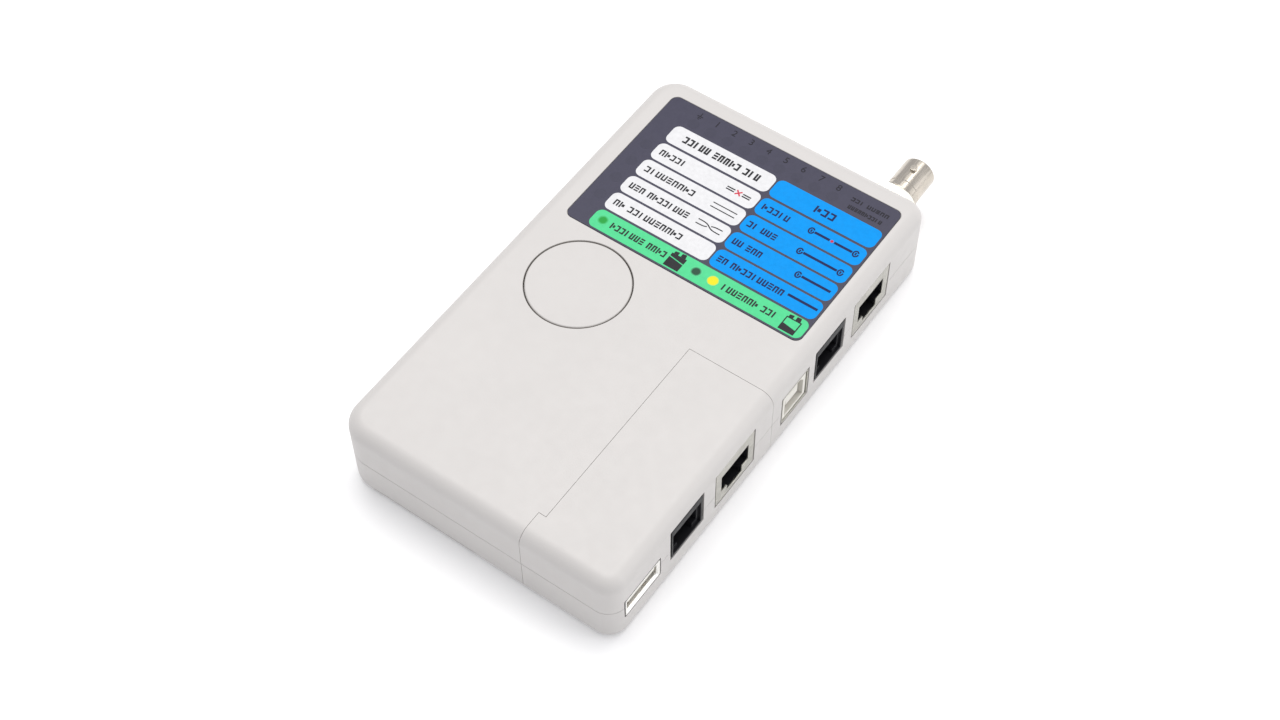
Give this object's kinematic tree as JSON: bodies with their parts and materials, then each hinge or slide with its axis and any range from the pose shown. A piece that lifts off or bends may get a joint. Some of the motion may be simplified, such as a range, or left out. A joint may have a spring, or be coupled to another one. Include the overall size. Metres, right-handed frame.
{
  "type": "network cable tester",
  "caption": "Handheld network cable tester: flat case with a label panel, round test button, modular, USB and coaxial jacks, and a slide-off remote unit.",
  "frame": {"origin": "centre of the main unit's and remote unit's shared rectangular underside", "axes": "+Z out of the label face, +Y towards the end with the coaxial jack, +X towards the side with the sockets"},
  "size_m": [0.085, 0.162, 0.025],
  "materials": {
    "case": "fine satin texture",
    "label": "smooth printed film",
    "board": "solder mask",
    "black_plastic": "moulded",
    "white_plastic": "moulded",
    "nickel": "warm nickel plate",
    "tin_plate": "tinned sheet",
    "gold_plate": "gold flash",
    "screw_steel": "plated",
    "battery_case": "printed jacket",
    "lamp_red": "tinted epoxy",
    "lamp_green": "tinted epoxy",
    "lamp_smoke": "tinted epoxy",
    "lamp_yellow": "tinted epoxy",
    "wire_red": "insulated wire",
    "wire_black": "insulated wire"
  },
  "bodies": {
    "main_unit": {"top_cover": "case", "bottom_cover": "case", "face_label": "label", "main_circuit_board": "board", "display_board": "board", "board_link_header": "black_plastic", "controller_chip": "black_plastic", "test_switch_body": "black_plastic", "battery_snap": "black_plastic", "main_rj45_insert": "black_plastic", "main_rj11_housing": "black_plastic", "usb_b_insert": "white_plastic", "bnc_insulator": "white_plastic", "bnc_body": "nickel", "bnc_washer": "nickel", "bnc_nut": "nickel", "main_rj45_shield": "tin_plate", "usb_b_shell": "tin_plate", "main_rj45_contacts": "gold_plate", "main_rj11_contacts": "gold_plate", "bnc_centre_contact": "gold_plate", "case_screw_1": "screw_steel", "case_screw_2": "screw_steel", "case_screw_3": "screw_steel", "case_screw_4": "screw_steel", "battery_9v": "battery_case", "battery_lead_red": "wire_red", "battery_lead_black": "wire_black", "lamp_pin_ground": "lamp_red", "lamp_pin_1": "lamp_red", "lamp_pin_2": "lamp_red", "lamp_pin_3": "lamp_red", "lamp_pin_4": "lamp_red", "lamp_pin_5": "lamp_red", "lamp_pin_6": "lamp_red", "lamp_pin_7": "lamp_red", "lamp_pin_8": "lamp_red", "lamp_short": "lamp_red", "lamp_connected": "lamp_red", "lamp_crossed": "lamp_red", "lamp_open": "lamp_red", "lamp_battery_good": "lamp_green", "lamp_battery_mid": "lamp_smoke", "lamp_battery_low": "lamp_yellow"},
    "remote_unit": {"remote_top_cover": "case", "remote_bottom_cover": "case", "remote_circuit_board": "board", "remote_rj45_insert": "black_plastic", "remote_rj11_housing": "black_plastic", "remote_rj45_shield": "tin_plate", "remote_rj45_contacts": "gold_plate", "remote_rj11_contacts": "gold_plate", "remote_screw_1": "screw_steel", "remote_screw_2": "screw_steel", "usb_a_shell": "tin_plate", "usb_a_tongue": "white_plastic"},
    "test_button": {"test_button_cap": "case", "test_switch_plunger": "white_plastic"},
    "battery_door": {"battery_door": "case"}
  },
  "joints": [
    {"name": "remote_slide", "type": "slide", "parent": "main_unit", "child": "remote_unit", "axis": [0, -1, 0], "range_m": [0, 0.066]},
    {"name": "test_button_press", "type": "slide", "parent": "main_unit", "child": "test_button", "axis": [0, 0, -1], "range_m": [0, 0.0008], "stiffness_N_per_m": 800, "springref_m": -0.0002},
    {"name": "battery_door_slide", "type": "slide", "parent": "main_unit", "child": "battery_door", "axis": [0, -1, 0], "range_m": [0, 0.054]}
  ]
}
